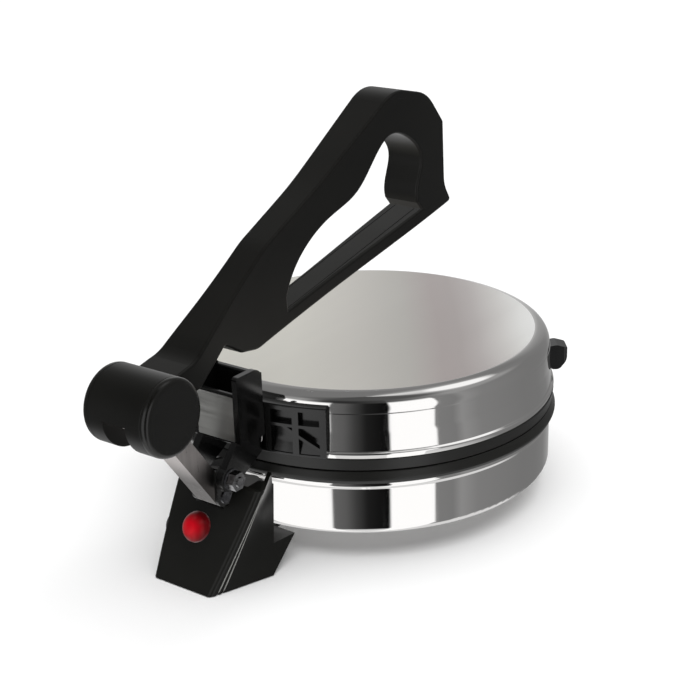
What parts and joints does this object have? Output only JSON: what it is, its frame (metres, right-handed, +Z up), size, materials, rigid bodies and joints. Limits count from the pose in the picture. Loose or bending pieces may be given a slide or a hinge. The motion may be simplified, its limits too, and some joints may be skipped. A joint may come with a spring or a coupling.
{
  "type": "electric roti maker",
  "caption": "Electric flatbread press: round heated pan and hinged polished lid, closed by a long looped press lever that turns in a drum on a steel link.",
  "frame": {"origin": "on the round pan's axis, in the plane of the table that the pads stand on", "axes": "+Z up; +X from the hinge and console towards the front of the lid; the link and press lever swing in the XZ plane"},
  "size_m": [0.3438, 0.2416, 0.2481],
  "materials": {
    "polished_steel": "polished",
    "plate_coating": "non-stick satin",
    "ring_plastic": "satin",
    "lever_plastic": "satin",
    "cap_plastic": "fine grain",
    "block_plastic": "gloss",
    "console_plastic": "satin",
    "lamp_red": "clear red",
    "lamp_housing": "satin",
    "bright_sheet": "bright",
    "zinc_steel": "zinc plated",
    "heater_sheath": "annealed",
    "thermostat_case": "plain",
    "terminal_resin": "plain",
    "soft_rubber": "matt",
    "silver_plate": "satin"
  },
  "bodies": {
    "base": {"base_pan": "polished_steel", "base_ring": "ring_plastic", "lower_cooking_plate": "plate_coating", "lower_heating_element": "heater_sheath", "lower_element_clamp": "zinc_steel", "lower_clamp_screw": "zinc_steel", "plate_spacers": "zinc_steel", "pan_screws": "zinc_steel", "thermostat": "thermostat_case", "front_feet": "console_plastic", "foot_screws": "zinc_steel", "rubber_pads": "soft_rubber", "console_shell": "console_plastic", "console_floor": "console_plastic", "console_screws": "zinc_steel", "console_fixings": "zinc_steel", "terminal_block": "terminal_resin", "cord_gland": "soft_rubber", "lamp_lens": "lamp_red", "lamp_body": "lamp_housing", "hinge_bracket": "bright_sheet", "bracket_rivets": "zinc_steel", "hinge_bolt": "zinc_steel", "hinge_washers": "zinc_steel", "hinge_nut": "zinc_steel", "link_pin": "zinc_steel"},
    "lid": {"lid_cover": "polished_steel", "lid_ring": "ring_plastic", "upper_cooking_plate": "plate_coating", "upper_heating_element": "heater_sheath", "upper_element_clamp": "zinc_steel", "upper_clamp_screw": "zinc_steel", "plate_screws": "zinc_steel", "hinge_block": "block_plastic", "rating_plate": "silver_plate", "block_screws": "zinc_steel", "lid_tab": "block_plastic", "tab_screw": "zinc_steel"},
    "link": {"link_channel": "bright_sheet", "drum_axle": "zinc_steel", "axle_washers": "zinc_steel"},
    "lever": {"press_lever": "lever_plastic", "lever_cap": "cap_plastic", "cap_screws": "zinc_steel", "drum_caps": "lever_plastic"}
  },
  "joints": [
    {"name": "lid_hinge", "type": "hinge", "parent": "base", "child": "lid", "pos_m": [-0.1505, 0, 0.06], "axis": [0, -1, 0], "range_deg": [0, 65]},
    {"name": "link_pivot", "type": "hinge", "parent": "base", "child": "link", "pos_m": [-0.1505, 0, 0.048], "axis": [0, -1, 0], "range_deg": [0, 65]},
    {"name": "lever_pivot", "type": "hinge", "parent": "link", "child": "lever", "pos_m": [-0.20099, 0, 0.11749], "axis": [0, -1, 0], "range_deg": [-6, 70]}
  ],
  "couplings": [
    {"joint": "link_pivot", "follows": "lid_hinge", "ratio": 1}
  ]
}
